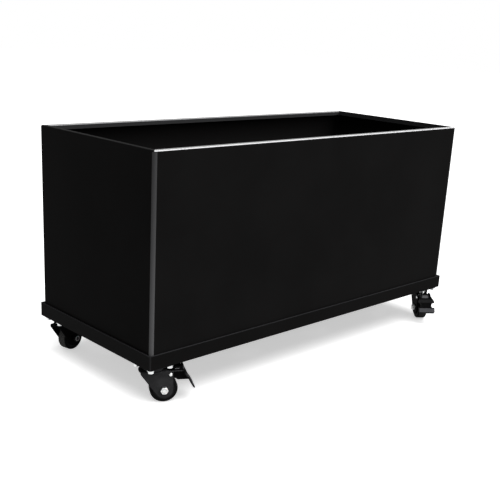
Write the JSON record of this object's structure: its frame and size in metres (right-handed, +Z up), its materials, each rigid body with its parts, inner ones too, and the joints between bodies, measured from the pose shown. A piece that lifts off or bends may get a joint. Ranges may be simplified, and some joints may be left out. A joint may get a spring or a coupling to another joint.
{
  "type": "rolling planter",
  "caption": "Long rectangular folded-sheet planter box that lifts out of an angle-rail tray rolling on plate-mounted swivel casters, the front ones with foot brakes.",
  "frame": {"origin": "the point on the floor under the middle of the planter box, with every wheel standing on the floor", "axes": "+X along the length to the right-hand end, -Y to the front with the braked casters, +Z up"},
  "size_m": [0.9234, 0.4226, 0.482],
  "materials": {
    "box_coat": "satin black powder coat",
    "tray_coat": "satin black powder coat",
    "caster_coat": "black electro-coated pressed steel",
    "pedal_coat": "black coated pressed steel",
    "zinc": "bright zinc plate",
    "ball_steel": "polished and greased",
    "spring_steel": "plain spring steel",
    "tyre_rubber": "smooth black tread",
    "wheel_plastic": "moulded",
    "shoe_plastic": "moulded"
  },
  "bodies": {
    "tray": {"front_rail": "tray_coat", "back_rail": "tray_coat", "left_rail": "tray_coat", "right_rail": "tray_coat", "corner_gussets": "tray_coat", "cross_bars": "tray_coat", "plate_studs": "zinc", "plate_washers": "zinc", "plate_nuts": "zinc", "front_left_plate": "caster_coat", "front_right_plate": "caster_coat", "back_left_plate": "caster_coat", "back_right_plate": "caster_coat", "front_left_kingpin": "zinc", "front_right_kingpin": "zinc", "back_left_kingpin": "zinc", "back_right_kingpin": "zinc"},
    "planter": {"planter_walls": "box_coat", "floor_pan": "box_coat"},
    "front_left_swivel": {"front_left_fork": "caster_coat", "front_left_balls": "ball_steel", "front_left_axle_bolt": "zinc", "front_left_axle_nut": "zinc", "front_left_axle_sleeve": "zinc", "front_left_pedal_rivet": "zinc", "front_left_brake_spring": "spring_steel"},
    "front_left_wheel": {"front_left_wheel_core": "wheel_plastic", "front_left_tyre": "tyre_rubber"},
    "front_left_brake": {"front_left_pedal": "pedal_coat", "front_left_brake_shoe": "shoe_plastic"},
    "front_right_swivel": {"front_right_fork": "caster_coat", "front_right_balls": "ball_steel", "front_right_axle_bolt": "zinc", "front_right_axle_nut": "zinc", "front_right_axle_sleeve": "zinc", "front_right_pedal_rivet": "zinc", "front_right_brake_spring": "spring_steel"},
    "front_right_wheel": {"front_right_wheel_core": "wheel_plastic", "front_right_tyre": "tyre_rubber"},
    "front_right_brake": {"front_right_pedal": "pedal_coat", "front_right_brake_shoe": "shoe_plastic"},
    "back_left_swivel": {"back_left_fork": "caster_coat", "back_left_balls": "ball_steel", "back_left_axle_bolt": "zinc", "back_left_axle_nut": "zinc", "back_left_axle_sleeve": "zinc"},
    "back_left_wheel": {"back_left_wheel_core": "wheel_plastic", "back_left_tyre": "tyre_rubber"},
    "back_right_swivel": {"back_right_fork": "caster_coat", "back_right_balls": "ball_steel", "back_right_axle_bolt": "zinc", "back_right_axle_nut": "zinc", "back_right_axle_sleeve": "zinc"},
    "back_right_wheel": {"back_right_wheel_core": "wheel_plastic", "back_right_tyre": "tyre_rubber"}
  },
  "joints": [
    {"name": "planter_lift", "type": "slide", "parent": "tray", "child": "planter", "axis": [0, 0, 1], "range_m": [0, 0.06]},
    {"name": "front_left_swivel_turn", "type": "hinge", "parent": "tray", "child": "front_left_swivel", "pos_m": [-0.4277, -0.1577, 0.065], "axis": [0, 0, 1], "continuous": true},
    {"name": "front_left_wheel_roll", "type": "hinge", "parent": "front_left_swivel", "child": "front_left_wheel", "pos_m": [-0.41038, -0.1677, 0.027], "axis": [0.5, 0.866, 0], "continuous": true},
    {"name": "front_left_brake_push", "type": "hinge", "parent": "front_left_swivel", "child": "front_left_brake", "pos_m": [-0.39999, -0.1737, 0.0575], "axis": [0.5, 0.866, 0], "range_deg": [0, 14]},
    {"name": "front_right_swivel_turn", "type": "hinge", "parent": "tray", "child": "front_right_swivel", "pos_m": [0.4277, -0.1577, 0.065], "axis": [0, 0, 1], "continuous": true},
    {"name": "front_right_wheel_roll", "type": "hinge", "parent": "front_right_swivel", "child": "front_right_wheel", "pos_m": [0.41539, -0.17346, 0.027], "axis": [0.788, -0.6157, 0], "continuous": true},
    {"name": "front_right_brake_push", "type": "hinge", "parent": "front_right_swivel", "child": "front_right_brake", "pos_m": [0.408, -0.18292, 0.0575], "axis": [0.788, -0.6157, 0], "range_deg": [0, 14]},
    {"name": "back_left_swivel_turn", "type": "hinge", "parent": "tray", "child": "back_left_swivel", "pos_m": [-0.4277, 0.1577, 0.065], "axis": [0, 0, 1], "continuous": true},
    {"name": "back_left_wheel_roll", "type": "hinge", "parent": "back_left_swivel", "child": "back_left_wheel", "pos_m": [-0.40829, 0.16254, 0.027], "axis": [-0.2419, 0.9703, 0], "continuous": true},
    {"name": "back_right_swivel_turn", "type": "hinge", "parent": "tray", "child": "back_right_swivel", "pos_m": [0.4277, 0.1577, 0.065], "axis": [0, 0, 1], "continuous": true},
    {"name": "back_right_wheel_roll", "type": "hinge", "parent": "back_right_swivel", "child": "back_right_wheel", "pos_m": [0.40829, 0.16254, 0.027], "axis": [-0.2419, -0.9703, 0], "continuous": true}
  ]
}
